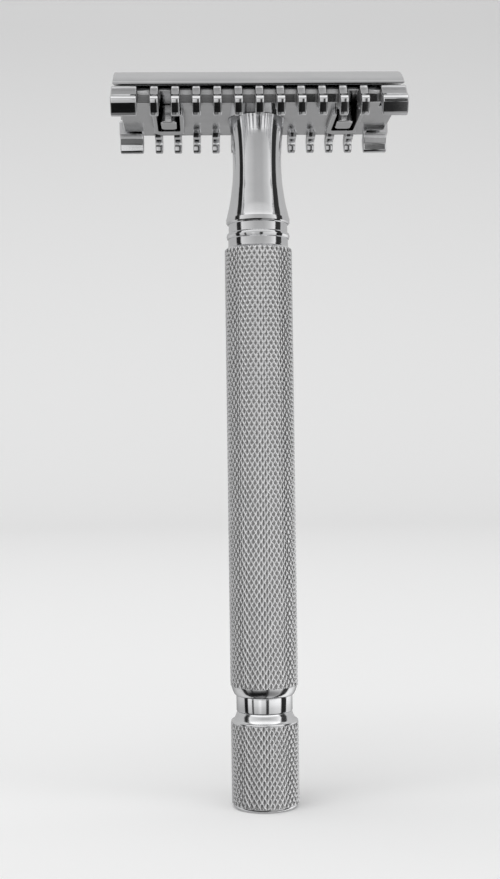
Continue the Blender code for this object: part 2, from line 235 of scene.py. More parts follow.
def inset(outline, distance):
    """The counter-clockwise outline moved inwards by this distance."""
    if distance == 0:
        return list(outline)
    moved = []
    count = len(outline)
    for index, here in enumerate(outline):
        before = Vector(here) - Vector(outline[index - 1])
        after = Vector(outline[(index + 1) % count]) - Vector(here)
        mid = before.normalized() + after.normalized()
        inwards = Vector((-mid.y, mid.x)).normalized()
        lean = max(0.4, inwards.dot(Vector((-after.y, after.x)).normalized()))
        spot = Vector(here) + inwards * distance / lean
        moved.append((spot.x, spot.y))
    return moved


# ------------------------------------------------------------------ meshes

def to_object(name, shape, sharp_deg=None):
    """A new object from a bmesh in mm. Edges sharper than sharp_deg stay sharp; None is smooth all over."""
    bmesh.ops.remove_doubles(shape, verts=shape.verts, dist=1e-4)
    bmesh.ops.recalc_face_normals(shape, faces=shape.faces)
    bmesh.ops.scale(shape, vec=(MM, MM, MM), verts=shape.verts)
    mesh = bpy.data.meshes.new(name)
    shape.to_mesh(mesh)
    shape.free()
    mesh.shade_smooth()
    if sharp_deg is not None:
        mesh.set_sharp_from_angle(angle=math.radians(sharp_deg))
    obj = bpy.data.objects.new(name, mesh)
    bpy.context.scene.collection.objects.link(obj)
    return obj


def add_rings(shape, rings):
    """Faces between each ring of vertices and the next."""
    for low, high in zip(rings, rings[1:]):
        count = len(low)
        for side in range(count):
            step = (side + 1) % count
            shape.faces.new((low[side], low[step], high[step], high[side]))


def turned_ring(shape, radius, height, sides):
    ring = []
    for side in range(sides):
        turn = 2 * math.pi * side / sides
        ring.append(shape.verts.new((radius * math.cos(turn), radius * math.sin(turn), height)))
    return ring


def lathe(name, outline, sides=ROUND_SIDES, sharp_deg=30):
    """A closed body turned about Z from a closed outline of (radius, height)."""
    shape = bmesh.new()
    rings = []
    for radius, height in outline:
        rings.append(turned_ring(shape, max(radius, 1e-3), height, sides))
    add_rings(shape, rings + rings[:1])
    return to_object(name, shape, sharp_deg)


def soft_prism(outline, low, high, edge, place, steps=4):
    """A closed bmesh: the outline pushed from low to high, its two ends rounded off by edge.

    place turns (a, b, along) into a position."""
    outline = counter_clockwise(outline)
    stations = []
    for step in range(steps + 1):
        turn = math.pi / 2 * step / steps
        stations.append((low + edge * (1 - math.cos(turn)), edge * (1 - math.sin(turn))))
    for step in range(steps, -1, -1):
        turn = math.pi / 2 * step / steps
        stations.append((high - edge * (1 - math.cos(turn)), edge * (1 - math.sin(turn))))
    shape = bmesh.new()
    rings = []
    for along, inwards in stations:
        rings.append([shape.verts.new(place(a, b, along)) for a, b in inset(outline, inwards)])
    add_rings(shape, rings)
    shape.faces.new(rings[0])
    shape.faces.new(rings[-1])
    return shape


def along_x(a, b, along):
    return (along, a, b)


def along_z(a, b, along):
    return (a, b, along)


def upright(name, outline, low, high, edge=0.01, steps=1):
    """A helper that stands along Z, to be joined to a piece or cut out of it."""
    return to_object(name, soft_prism(outline, low, high, edge, along_z, steps))


def combine(obj, joined, cutters):
    """Adds and cuts the helpers with exact Booleans, bakes the result into obj and removes the helpers."""
    for number, (operation, helpers) in enumerate((("UNION", joined), ("DIFFERENCE", cutters))):
        if not helpers:
            continue
        group = bpy.data.collections.new(f"{obj.name}_helpers_{number}")
        bpy.context.scene.collection.children.link(group)
        for helper in helpers:
            bpy.context.scene.collection.objects.unlink(helper)
            group.objects.link(helper)
        step = obj.modifiers.new(operation.lower(), "BOOLEAN")
        step.operation = operation
        step.operand_type = "COLLECTION"
        step.collection = group
        step.solver = "EXACT"
    bpy.context.view_layer.update()
    evaluated = obj.evaluated_get(bpy.context.evaluated_depsgraph_get())
    baked = bpy.data.meshes.new_from_object(evaluated)
    obj.modifiers.clear()
    obj.data = baked
    for helper in joined + cutters:
        bpy.data.objects.remove(helper, do_unlink=True)
    return obj


def crisp_shading(obj, sharp_deg):
    """Flat faces shade flat right up to their rounded edges."""
    obj.data.shade_smooth()
    obj.data.set_sharp_from_angle(angle=math.radians(sharp_deg))
    weigh = obj.modifiers.new("flat_faces_first", "WEIGHTED_NORMAL")
    weigh.keep_sharp = True
    weigh.weight = 90
    return obj


# ------------------------------------------------------------------ knurling

def lattice(radius, low, high):
    """A knurled tube: ridges cross at the lattice points, and each diamond between them is hollow."""
    shape = bmesh.new()
    pit = shape.verts.layers.float.new("pit")
    halves = 2 * KNURLS_ROUND
    rows = math.ceil((high - low) / (KNURL_TALL / 2)) + 4
    foot = (low + high) / 2 - rows * KNURL_TALL / 4
    crossings = {}

    def spot(across, up, depth):
        turn = 2 * math.pi * across / halves
        height = foot + up * KNURL_TALL / 2
        wide = noise.noise(Vector((across * 0.23, up * 0.19, radius)))
        close = noise.noise(Vector((across * 0.9, up * 0.9, radius + 7)))
        reach = radius - 0.012 - KNURL_DEPTH * depth * (1 + 0.3 * wide) + 0.012 * close
        vert = shape.verts.new((reach * math.cos(turn), reach * math.sin(turn), height))
        vert[pit] = depth
        return vert

    def crossing(across, up):
        key = (across % halves, up)
        if key not in crossings:
            crossings[key] = spot(key[0], up, KNURL_SECTION[0][1])
        return crossings[key]

    for up in range(1, rows):
        for across in range(halves):
            if (across + up) % 2 == 0:
                continue
            ring = [crossing(across - 1, up), crossing(across, up - 1)]
            ring += [crossing(across + 1, up), crossing(across, up + 1)]
            for share, depth in KNURL_SECTION[1:]:
                inner = []
                for da, du in ((-1, 0), (0, -1), (1, 0), (0, 1)):
                    inner.append(spot(across + da * share, up + du * share, depth))
                add_rings(shape, [ring, inner])
                ring = inner
            shape.faces.new(ring)
    for plane, keep_up in ((low, True), (high, False)):
        everything = shape.verts[:] + shape.edges[:] + shape.faces[:]
        bmesh.ops.bisect_plane(
            shape,
            geom=everything,
            plane_co=(0, 0, plane),
            plane_no=(0, 0, 1),
            clear_inner=keep_up,
            clear_outer=not keep_up,
        )
    return shape


def rim_edges(shape, height):
    found = []
    for edge in shape.edges:
        if edge.is_boundary and all(abs(vert.co.z - height) < 1e-4 for vert in edge.verts):
            found.append(edge)
    return found


def ring_edges(shape, ring):
    return [shape.edges.get(pair) or shape.edges.new(pair) for pair in zip(ring, ring[1:] + ring[:1])]


def polished_end(shape, rim, steps):
    """Carries an open knurled rim on through even rings of (radius, height). Returns the last one's edges."""
    rings = [turned_ring(shape, radius, height, ROUND_SIDES) for radius, height in steps]
    bmesh.ops.bridge_loops(shape, edges=rim + ring_edges(shape, rings[0]))
    add_rings(shape, rings)
    return ring_edges(shape, rings[-1])


def extend(shape, edges, steps):
    """Carries an open rim on through rings of (radius, height), and returns the last rim's edges."""
    for radius, height in steps:
        made = bmesh.ops.extrude_edge_only(shape, edges=edges)["geom"]
        edges = [item for item in made if isinstance(item, bmesh.types.BMEdge)]
        for vert in {vert for edge in edges for vert in edge.verts}:
            flat = Vector((vert.co.x, vert.co.y)).normalized() * radius
            vert.co = (flat.x, flat.y, height)
    return edges


# ------------------------------------------------------------------ materials

class Wiring:
    """Adds and links shader nodes, so that a material reads as a few lines."""

    def __init__(self, tree):
        self.tree = tree

    def node(self, kind, inputs=None, **settings):
        made = self.tree.nodes.new("ShaderNode" + kind)
        for key, value in settings.items():
            setattr(made, key, value)
        for key, value in (inputs or {}).items():
            if isinstance(value, bpy.types.NodeSocket):
                self.tree.links.new(value, made.inputs[key])
            else:
                made.inputs[key].default_value = value
        return made

    def ramp(self, factor, stops):
        made = self.node("ValToRGB", {"Fac": factor})
        elements = made.color_ramp.elements
        while len(elements) > 1:
            elements.remove(elements[-1])
        for number, (position, value) in enumerate(stops):
            colour = (value, value, value) if isinstance(value, (int, float)) else value
            element = elements[0] if number == 0 else elements.new(position)
            element.position = position
            element.color = (*colour, 1.0)
        return made.outputs["Color"]

    def math(self, operation, a, b=0.0):
        made = self.node("Math", operation=operation)
        for index, value in enumerate((a, b)):
            if isinstance(value, bpy.types.NodeSocket):
                self.tree.links.new(value, made.inputs[index])
            else:
                made.inputs[index].default_value = value
        return made.outputs[0]

    def spread(self, value, low, high, from_low=0.0, from_high=1.0):
        inputs = {"Value": value, "From Min": from_low, "From Max": from_high}
        return self.node("MapRange", {**inputs, "To Min": low, "To Max": high}).outputs["Result"]

    def noise(self, places, scale, detail=3.0, roughness=0.5):
        inputs = {"Vector": places, "Scale": scale, "Detail": detail, "Roughness": roughness}
        return self.node("TexNoise", inputs).outputs["Fac"]


# painted shade for corners and recesses, and the darker grey of the bottoms of the knurling
PAINTED_CREVICE_SHADE = (0.07, 0.068, 0.065)
KNURL_PIT_GREY = (0.19, 0.187, 0.183)


def metal(name, colour, dull, grain, grain_bump, pits=False, waves=0.0, ground_ends=0.0, painted_shade_reach=0.0):
    """Bare or plated metal.

    colour is light and dark, dull is the lowest and highest roughness, grain is how often the polishing marks
    repeat along X, Y and Z in a metre, and grain_bump is how deep they look. pits darkens the bottoms of the
    knurling, waves is how far a flat face wanders in metres, and ground_ends is how much duller the faces that
    look along X are. Painted shade darkens the colour where another face lies within the last argument's reach,
    in metres."""
    made = bpy.data.materials.new(name)
    made.use_nodes = True
    tree = made.node_tree
    wiring = Wiring(tree)
    shader = tree.nodes["Principled BSDF"]
    shader.inputs["Metallic"].default_value = 1.0
    places = wiring.node("TexCoord").outputs["Object"]
    marks_at = wiring.node("Mapping", {"Vector": places, "Scale": grain}).outputs["Vector"]
    marks = wiring.noise(marks_at, 1.0, 4.0, 0.6)
    clouds = wiring.noise(places, 180.0, 5.0, 0.62)
    specks = wiring.noise(places, 2600.0, 2.0, 0.5)

    light, dark = colour
    tint = wiring.ramp(clouds, ((0.3, dark), (0.7, light)))
    # The colour is darker towards the bottoms of the knurling.
    if pits:
        depth = wiring.node("Attribute", attribute_name="pit").outputs["Fac"]
        mix = wiring.node("Mix", {"Factor": wiring.spread(depth, 0.0, 0.9, 0.4, 0.95)}, data_type="RGBA")
        tree.links.new(tint, mix.inputs["A"])
        mix.inputs["B"].default_value = (*KNURL_PIT_GREY, 1.0)
        tint = mix.outputs["Result"]
    # Painted shade: where ambient occlusion finds other faces close by, the colour is mixed towards a near-black
    # grey.
    if painted_shade_reach:
        nearby = wiring.node("AmbientOcclusion", {"Distance": painted_shade_reach}, samples=6)
        openness = wiring.spread(nearby.outputs["AO"], 0.0, 1.0, 0.3, 0.72)
        crevice_shade_mix = wiring.node("Mix", {"Factor": openness}, data_type="RGBA")
        crevice_shade_mix.inputs["A"].default_value = (*PAINTED_CREVICE_SHADE, 1.0)
        tree.links.new(tint, crevice_shade_mix.inputs["B"])
        tint = crevice_shade_mix.outputs["Result"]
    tree.links.new(tint, shader.inputs["Base Color"])

    low, high = dull
    smudges = wiring.spread(clouds, low, high, 0.32, 0.72)
    scratched = wiring.math("MULTIPLY", wiring.spread(marks, 0.0, 1.0, 0.55, 0.8), (high - low) * 0.6)
    roughness = wiring.math("ADD", smudges, scratched)
    if pits:
        roughness = wiring.math("ADD", roughness, wiring.spread(depth, 0.0, 0.1))
    if ground_ends:
        normal = wiring.node("NewGeometry").outputs["True Normal"]
        facing = wiring.math("ABSOLUTE", wiring.node("SeparateXYZ", {"Vector": normal}).outputs["X"])
        end_face = wiring.spread(facing, 0.0, ground_ends, 0.96, 0.99)
        roughness = wiring.math("ADD", roughness, end_face)
    tree.links.new(roughness, shader.inputs["Roughness"])

    heights = wiring.math("ADD", marks, wiring.math("MULTIPLY", specks, 0.3))
    bump = wiring.node("Bump", {"Height": heights, "Strength": grain_bump, "Distance": 0.00002})
    if waves:
        swell = wiring.noise(places, 420.0, 1.0, 0.4)
        wide = wiring.node("Bump", {"Height": swell, "Strength": 1.0, "Distance": waves})
        tree.links.new(wide.outputs["Normal"], bump.inputs["Normal"])
    tree.links.new(bump.outputs["Normal"], shader.inputs["Normal"])
    return made


TURNED_GRAIN = (90.0, 90.0, 9000.0)
LONG_GRAIN = (120.0, 7000.0, 7000.0)
CHROME = ((0.79, 0.79, 0.8), (0.72, 0.725, 0.735))
# The knurled parts wear the same chrome, painted lighter so that they look more brightly lit.
KNURL_CHROME_PAINTED_LIGHTER = ((0.88, 0.88, 0.89), (0.8, 0.805, 0.815))
BLADE_STEEL = ((0.68, 0.69, 0.71), (0.6, 0.61, 0.63))
TURNED_STEEL = ((0.58, 0.58, 0.59), (0.46, 0.46, 0.47))
BRASS = ((0.83, 0.66, 0.36), (0.68, 0.5, 0.25))
# The head's end faces are ground duller, and painted shade darkens its corners and recesses.
HEAD_WEAR_AND_SHADE = {"ground_ends": 0.3, "painted_shade_reach": 0.0026}

LOOKS = {
    "turned": metal("chrome_turned", CHROME, (0.05, 0.1), TURNED_GRAIN, 0.12),
    "cap": metal("chrome_cap", CHROME, (0.06, 0.12), LONG_GRAIN, 0.12, waves=0.000004, **HEAD_WEAR_AND_SHADE),
    "plate": metal("chrome_plate", CHROME, (0.07, 0.15), LONG_GRAIN, 0.14, waves=0.000012, **HEAD_WEAR_AND_SHADE),
    "knurl": metal("chrome_knurled", KNURL_CHROME_PAINTED_LIGHTER, (0.1, 0.17), TURNED_GRAIN, 0.1, pits=True),
    "blade": metal("blade_steel", BLADE_STEEL, (0.16, 0.26), LONG_GRAIN, 0.4),
    "steel": metal("turned_steel", TURNED_STEEL, (0.22, 0.36), TURNED_GRAIN, 0.5),
    "brass": metal("turned_brass", BRASS, (0.2, 0.36), TURNED_GRAIN, 0.5),
}


def finish_piece(obj, body, nodes, look):
    obj.data.materials.clear()
    obj.data.materials.append(LOOKS[look])
    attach(obj, body)
    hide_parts(*nodes)
    return obj


# ------------------------------------------------------------------ knob

def build_knob():
    radius = KNOB_HIGH.x
    bore = ROD_HIGH.x + FIT_GAP
    top = KNOB_HIGH.z
    rim_low = KNOB_RIM_Z
    knurl_low = KNOB_KNURL_LOW_Z
    below = [(radius - 0.14, knurl_low - 0.03), (radius - 0.15, 0.4), (radius - 0.24, 0.2)]
    below += [(radius - 0.4, 0.08), (radius - 0.62, 0.02), (radius - 0.85, 0.0)]
    above = [(radius - 0.13, rim_low + 0.02), (radius - 0.07, rim_low + 0.1), (radius - 0.07, rim_low + 0.26)]
    above += [(radius - 0.16, rim_low + 0.36), (radius - 0.36, rim_low + 0.38), (radius - 0.42, rim_low + 0.42)]
    above += [(4.6, 13.35), (4.45, 13.65), (4.33, 13.95), (SHOULDER_R, top - 0.08), (SHOULDER_R - 0.08, top)]
    above += [(bore, top), (bore, ROD_LOW.z - 0.2)]
    shape = lattice(radius, knurl_low, rim_low)
    foot = polished_end(shape, rim_edges(shape, knurl_low), below)
    head = polished_end(shape, rim_edges(shape, rim_low), above)
    bmesh.ops.edgeloop_fill(shape, edges=foot)
    bmesh.ops.edgeloop_fill(shape, edges=head)
    knob = to_object("knurled_end_knob", shape, 50)
    return finish_piece(knob, "knob", ["end_knob"], "knurl")


def build_washer():
    bore = ROD_HIGH.x + WASHER_CLEAR
    outline = [(bore, WASHER_LOW.z, 0.05), (WASHER_HIGH.x, WASHER_LOW.z, 0.08)]
    outline += [(WASHER_HIGH.x, WASHER_HIGH.z, 0.08), (bore, WASHER_HIGH.z, 0.05)]
    washer = lathe("brass_thrust_washer", rounded(outline, 3), 96)
    return finish_piece(washer, "knob", ["thrust_washer"], "brass")


def build_rod():
    radius = ROD_HIGH.x
    groove = radius - GROOVE_DEPTH
    low, high = CLIP_LOW.z - FIT_GAP, CLIP_HIGH.z + FIT_GAP
    outline = [(0, ROD_LOW.z, 0), (radius, ROD_LOW.z, 0.3), (radius, low, 0.05), (groove, low, 0)]
    outline += [(groove, high, 0), (radius, high, 0.05), (radius, ROD_HIGH.z, 0.3), (0, ROD_HIGH.z, 0)]
    rod = lathe("steel_draw_rod", rounded(outline, 3), 64)
    return finish_piece(rod, "knob", ["draw_rod"], "steel")


def build_clip():
    outer = CLIP_HIGH.y
    inner = ROD_HIGH.x - 0.3
    half_gap = math.radians(CLIP_HALF_GAP_DEG)
    turns = [half_gap + (2 * math.pi - 2 * half_gap) * step / 56 for step in range(57)]
    outline = [(outer * math.cos(turn), outer * math.sin(turn)) for turn in turns]
    outline += [(inner * math.cos(turn), inner * math.sin(turn)) for turn in reversed(turns)]
    shape = soft_prism(outline, CLIP_LOW.z, CLIP_HIGH.z, 0.08, along_z, 2)
    clip = to_object("steel_retaining_clip", shape, 40)
    return finish_piece(clip, "knob", ["retaining_clip"], "steel")


# ------------------------------------------------------------------ screw thread

def thread_columns(shape, foot, head, clear, sides):
    """Columns of vertices up the thread, whose flanks, crests and roots follow the helix."""
    section = (
        (0.0, 0.0), (0.05, 0.06), (0.3, 0.94), (0.36, 1.0),
        (0.48, 1.0), (0.54, 0.94), (0.79, 0.06), (0.84, 0.0),
    )
    first = math.floor(foot / PITCH) - 2
    last = math.ceil(head / PITCH) + 2
    root = THREAD_MINOR_R + clear
    tall = THREAD_MAJOR_R - THREAD_MINOR_R
    rings = []
    for side in range(sides):
        turn = side / sides
        column = []
        for whole in range(first, last):
            for share, rise in section:
                z = PITCH * (whole + share + turn)
                fade = min(1.0, max(0.0, (z - foot) / PITCH), max(0.0, (head - z) / PITCH))
                radius = root + tall * rise * (1.0 if clear else fade)
                angle = 2 * math.pi * turn
                x, y = radius * math.cos(angle), radius * math.sin(angle)
                column.append(shape.verts.new((x, y, min(max(z, foot), head))))
        rings.append(column)
    return rings, len(section)


def thread_surface(shape, foot, head, clear, sides=72):
    columns, a_turn = thread_columns(shape, foot, head, clear, sides)
    size = len(columns[0])
    for side in range(sides):
        here = columns[side]
        after = columns[(side + 1) % sides]
        shift = a_turn if side == sides - 1 else 0
        for row in range(size - 1):
            if row + 1 - shift < 0 or row - shift < 0:
                continue
            corners = (here[row], after[row - shift], after[row + 1 - shift], here[row + 1])
            if max(vert.co.z for vert in corners) - min(vert.co.z for vert in corners) > 1e-6:
                shape.faces.new(corners)
    bmesh.ops.remove_doubles(shape, verts=shape.verts, dist=1e-4)
    bmesh.ops.dissolve_degenerate(shape, edges=shape.edges, dist=1e-4)
    loose = [vert for vert in shape.verts if not vert.link_faces]
    bmesh.ops.delete(shape, geom=loose, context="VERTS")
    return rim_edges(shape, foot), rim_edges(shape, head)


def build_stud():
    top = STUD_HIGH.z
    shape = bmesh.new()
    foot, head = thread_surface(shape, THREAD_FOOT_Z, THREAD_HEAD_Z, 0.0)
    tip = [(1.85, THREAD_FOOT_Z - 0.15), (1.5, THREAD_FOOT_Z - 0.5), (1.35, THREAD_FOOT_Z - 0.5)]
    shank = [(2.2, THREAD_HEAD_Z + 0.25), (2.2, 108.6), (2.28, 108.75), (2.5, 108.8), (2.5, top)]
    foot = extend(shape, foot, tip)
    head = extend(shape, head, shank)
    bmesh.ops.edgeloop_fill(shape, edges=foot)
    bmesh.ops.edgeloop_fill(shape, edges=head)
    stud = to_object("threaded_cap_stud", shape, 35)
    return finish_piece(stud, "cap", ["cap_stud"], "steel")


def build_socket():
    radius = SOCKET_HIGH.x
    foot_z = THREAD_FOOT_Z - 2.0
    bore = ROD_HIGH.x + FIT_GAP
    shape = bmesh.new()
    foot, head = thread_surface(shape, foot_z, SOCKET_HIGH.z, THREAD_CLEAR)
    floor = extend(shape, foot, [(1.9, foot_z - 0.6)])
    bmesh.ops.edgeloop_fill(shape, edges=floor)
    top = SOCKET_HIGH.z
    outside = [(radius - 0.3, top), (radius - 0.08, top - 0.08), (radius, top - 0.3)]
    outside += [(radius, SOCKET_LOW.z + 0.25), (radius - 0.25, SOCKET_LOW.z), (bore, SOCKET_LOW.z)]
    outside += [(bore, ROD_HIGH.z + 0.2)]
    end = extend(shape, head, outside)
    bmesh.ops.edgeloop_fill(shape, edges=end)
    socket = to_object("brass_thread_socket", shape, 35)
    return finish_piece(socket, "knob", ["thread_socket"], "brass")


# ------------------------------------------------------------------ handle

def build_barrel():
    radius = BARREL_HIGH.x
    bottom, top = BARREL_LOW.z, BARREL_HIGH.z
    knurl_low, knurl_high = bottom + 1.45, top - 0.3
    below = [(radius - 0.13, knurl_low - 0.02), (radius - 0.14, knurl_low - 0.12), (4.78, bottom + 0.6)]
    below += [(4.55, bottom + 0.15), (4.4, bottom), (BARREL_BORE_R, bottom)]
    above = [(radius - 0.14, knurl_high + 0.02), (radius - 0.2, top - 0.18), (4.84, top - 0.04), (4.76, top)]
    above += [(BARREL_BORE_R, top)]
    shape = lattice(radius, knurl_low, knurl_high)
    foot = polished_end(shape, rim_edges(shape, knurl_low), below)
    head = polished_end(shape, rim_edges(shape, knurl_high), above)
    bmesh.ops.bridge_loops(shape, edges=foot + head)
    barrel = to_object("knurled_grip", shape, 50)
    return finish_piece(barrel, "handle", ["knurled_barrel"], "knurl")


def build_collar():
    foot = COLLAR_LOW.z
    waist_top = BARREL_LOW.z - FIT_GAP
    bore = ROD_HIGH.x + COLLAR_CLEAR
    spigot = BARREL_BORE_R - FIT_GAP
    recess = WASHER_HIGH.x + FIT_GAP
    roof = WASHER_HIGH.z + FIT_GAP
    outline = [(bore, roof, 0), (recess, roof, 0), (recess, foot, 0.05), (WAIST_R, foot, 0.12)]
    outline += [(WAIST_R, waist_top, 0.05), (spigot, waist_top, 0)]
    outline += [(spigot, COLLAR_HIGH.z, 0.3), (bore, COLLAR_HIGH.z, 0.1)]
    collar = lathe("polished_waist_collar", rounded(outline, 4))
    return finish_piece(collar, "handle", ["waist_collar"], "turned")


def build_neck():
    spigot = BARREL_BORE_R - FIT_GAP
    foot = BARREL_HIGH.z + FIT_GAP
    seat = UNDER_Z - FIT_GAP
    beads = [
        (4.62, foot, 0.03), (4.57, 85.12, 0.05), (4.56, 86.12, 0.03), (4.72, 86.22, 0.06),
        (4.83, 86.62, 0.2), (4.74, 87.0, 0.15), (4.5, 87.12, 0.04), (4.47, 88.38, 0.03),
        (4.7, 88.48, 0.06), (4.87, 88.9, 0.2),
    ]
    sweep = [
        (4.85, 89.25), (4.7, 89.8), (4.37, 91.2), (4.15, 92.4), (3.98, 93.6), (3.83, 94.8),
        (3.74, 96.1), (3.7, 97.5), (3.72, 99.0), (3.79, 100.5), (3.92, 102.0), (4.1, 103.3),
        (4.28, 104.3), (4.34, seat),
    ]
    inside = [(NECK_LOW_BORE_R, NECK_LOW.z, 0.1), (spigot, NECK_LOW.z, 0.3), (spigot, foot, 0)]
    foot_outline = rounded(inside + beads)
    outline = foot_outline + curve_through(sweep, 5)
    outline += [(SPIGOT_R, seat), (SPIGOT_R, NECK_HIGH.z), (NECK_BORE_R, NECK_HIGH.z)]
    outline += [(NECK_BORE_R, NECK_STEP_Z[1]), (NECK_LOW_BORE_R, NECK_STEP_Z[0])]
    neck = lathe("turned_neck", outline, 192, 40)
    return finish_piece(neck, "handle", ["neck"], "turned")


# ------------------------------------------------------------------ comb plate

# A tooth seen along X, as (y, z, radius): over its front and round its tip, and then back to the plate.
TOOTH_FRONT = [
    (9.7, 106.3, 0), (10.4, 106.93, 0.25), (10.82, 106.93, 0.25), (11.05, 106.5, 0.4),
    (11.5, 105.93, 0.8), (12.1, 105.36, 0.9), (12.75, 104.95, 0.6), (13.2, 104.8, 0.25),
    (13.36, 104.35, 0.5), (13.2, 103.82, 0.25), (12.42, 102.58, 0.25), (12.1, 102.25, 0.3),
    (11.6, 102.24, 0.25), (11.34, 102.6, 0.3),
]
TOOTH_ROOT = [
    (11.2, 103.3, 0.4), (10.7, 103.68, 0.4), (9.1, 103.85, 0.8), (8.5, 103.98, 0.3), (7.9, 104.9, 0),
]
BAR_ROOT = [(11.2, 103.6, 0.4), (10.4, 104.35, 0.4), (9.9, UNDER_Z, 0.3), (NOTCH_OUT_Y, UNDER_Z, 0.25)]


def comb_section(side, corners):
    return [(side * y, z) for y, z in rounded(corners, 3)]


def plate_section():
    """The comb plate across its middle, as (y, z)."""
    edge = PLATE_HALF_Y
    corners = [(-FOOT_HALF_Y, UNDER_Z, 0.2), (FOOT_HALF_Y, UNDER_Z, 0.2), (edge, WALL_BREAK_Z, 0.2)]
    brow = edge - WALL_LEAN
    corners += [(brow, arc_z(PLATE_CROWN_Z, PLATE_TOP_BEND, brow), 0.2)]
    corners += [(y, z, 0) for y, z in arc_line(PLATE_CROWN_Z, PLATE_TOP_BEND, brow - 0.5, 0.5 - brow, 36)]
    corners += [(-brow, arc_z(PLATE_CROWN_Z, PLATE_TOP_BEND, brow), 0.2), (-edge, WALL_BREAK_Z, 0.2)]
    return rounded(corners, 3)


def comb_helpers():
    """What is added to the plate: the tongues past its ends, the teeth, the end bars and the bosses."""
    helpers = []
    half = TONGUE_HALF_Y
    crown = PLATE_CROWN_Z - 0.03
    tongue = [(-half, UNDER_Z + 0.02, 0.25), (half, UNDER_Z + 0.02, 0.25)]
    tongue += [(half, arc_z(crown, PLATE_TOP_BEND, half), 0.25)]
    tongue += [(y, z, 0) for y, z in arc_line(crown, PLATE_TOP_BEND, half - 0.6, 0.6 - half, 24)]
    tongue += [(-half, arc_z(crown, PLATE_TOP_BEND, half), 0.25)]
    for end in (-1, 1):
        low, high = sorted((end * (BODY_HALF_X - 0.8), end * TONGUE_HALF_X))
        shape = soft_prism(rounded(tongue, 3), low, high, EDGE_ROUND, along_x, 3)
        helpers.append(to_object("tongue", shape))
    reach = TEETH_A_SIDE // 2
    for side in (-1, 1):
        section = comb_section(side, TOOTH_FRONT + TOOTH_ROOT)
        for tooth in range(-reach, reach + 1):
            x = tooth * COMB_PITCH
            shape = soft_prism(section, x - TOOTH_W / 2, x + TOOTH_W / 2, EDGE_ROUND, along_x, 3)
            helpers.append(to_object("tooth", shape))
        section = comb_section(side, [(NOTCH_OUT_Y, 106.9, 0.25)] + TOOTH_FRONT[1:] + BAR_ROOT)
        for end in (-1, 1):
            low, high = sorted((end * BAR_IN_X, end * PLATE_HIGH.x))
            helpers.append(to_object("bar", soft_prism(section, low, high, EDGE_ROUND, along_x, 3)))
    for end in (-1, 1):
        ring = span_outline(end * LUG_X, BOSS_HALF_X, BOSS_SPAN_Y, 1.5)
        helpers.append(upright("boss", ring, UNDER_Z - BOSS_DROP, UNDER_Z + 1.0, 0.2, 3))
    return helpers


def plate_cutters():
    """What is cut out of the plate: inside each boss, its pocket, the pocket's mouth and slot, and the holes."""
    cutters = []
    inner = BOSS_HALF_X - BOSS_WALL
    gap_x = COMB_PITCH * 4.5
    gap_half = (COMB_PITCH - TOOTH_W) / 2 - FIT_GAP
    for end in (-1, 1):
        x = end * LUG_X
        inside = span_outline(x, inner, (POCKET_SPAN_Y[0], POCKET_SPAN_Y[1] + 0.05), 0.6)
        cutters.append(upright("inside", inside, UNDER_Z - 2, UNDER_Z + 0.1))
        pocket = span_outline(x, inner - 0.03, (POCKET_SPAN_Y[0] + 0.1, POCKET_SPAN_Y[1]), 0.6)
        cutters.append(upright("pocket", pocket, UNDER_Z - 2.1, POCKET_TOP_Z, 0.2, 3))
        mouth = span_outline(end * gap_x, gap_half, (-PLATE_HALF_Y - 1, POCKET_SPAN_Y[0] + 0.5), 0.2)
        cutters.append(upright("mouth", mouth, UNDER_Z - 2.2, MOUTH_TOP_Z, 0.15, 2))
        slot = box_outline(*SLOT_HALF, 0.7, a=x)
        cutters.append(upright("slot", slot, UNDER_Z - 2.3, PLATE_CROWN_Z + 2))
    hole = circle(SPIGOT_R + FIT_GAP, 96)
    cutters.append(upright("spigot_hole", hole, UNDER_Z - 2, NECK_HIGH.z + FIT_GAP))
    hole = circle(NECK_BORE_R + FIT_GAP, 96)
    cutters.append(upright("stud_hole", hole, UNDER_Z - 3, PLATE_CROWN_Z + 2))
    return cutters


def build_plate():
    body = soft_prism(plate_section(), -BODY_HALF_X, BODY_HALF_X, 0.18, along_x, 3)
    plate = to_object("open_comb_plate", body)
    combine(plate, comb_helpers(), [])
    for cutter in plate_cutters():
        combine(plate, [], [cutter])
    crisp_shading(plate, 38)
    return finish_piece(plate, "handle", ["base_plate"], "plate")


# ------------------------------------------------------------------ blade and cap

def build_blade():
    under = arc_line(BLADE_UNDER_Z, BLADE_BEND, -BLADE_HIGH.y, BLADE_HIGH.y, 72)
    upper = []
    for y, z in reversed(under):
        upper.append((y, z + min(BLADE_THICK, 0.02 + (BLADE_HIGH.y - abs(y)) * 0.1)))
    sheet = soft_prism(under + upper, -BLADE_HIGH.x, BLADE_HIGH.x, 0.01, along_x, 1)
    blade = to_object("double_edge_blade", sheet)
    low, high = BLADE_UNDER_Z - 4, BLADE_UNDER_Z + 2
    cutters = [upright("hole", circle(BLADE_HOLE_R), low, high)]
    slots = [upright("slot", box_outline(*BLADE_SLOT_HALF, 0.8), low - 1, high + 1)]
    for end in (-1, 1):
        lug_hole = circle(BLADE_LUG_HOLE_R, 56, x=end * LUG_X)
        cutters.append(upright("lug_hole", lug_hole, low, high))
        for side in (-1, 1):
            notch = box_outline(*BLADE_NOTCH_HALF, 0.5, a=end * BLADE_NOTCH_X, b=side * BLADE_NOTCH_Y)
            cutters.append(upright("notch", notch, low - 2, high))
    combine(blade, [], cutters)
    combine(blade, [], slots)
    crisp_shading(blade, 20)
    return finish_piece(blade, "blade_body", ["blade"], "blade")


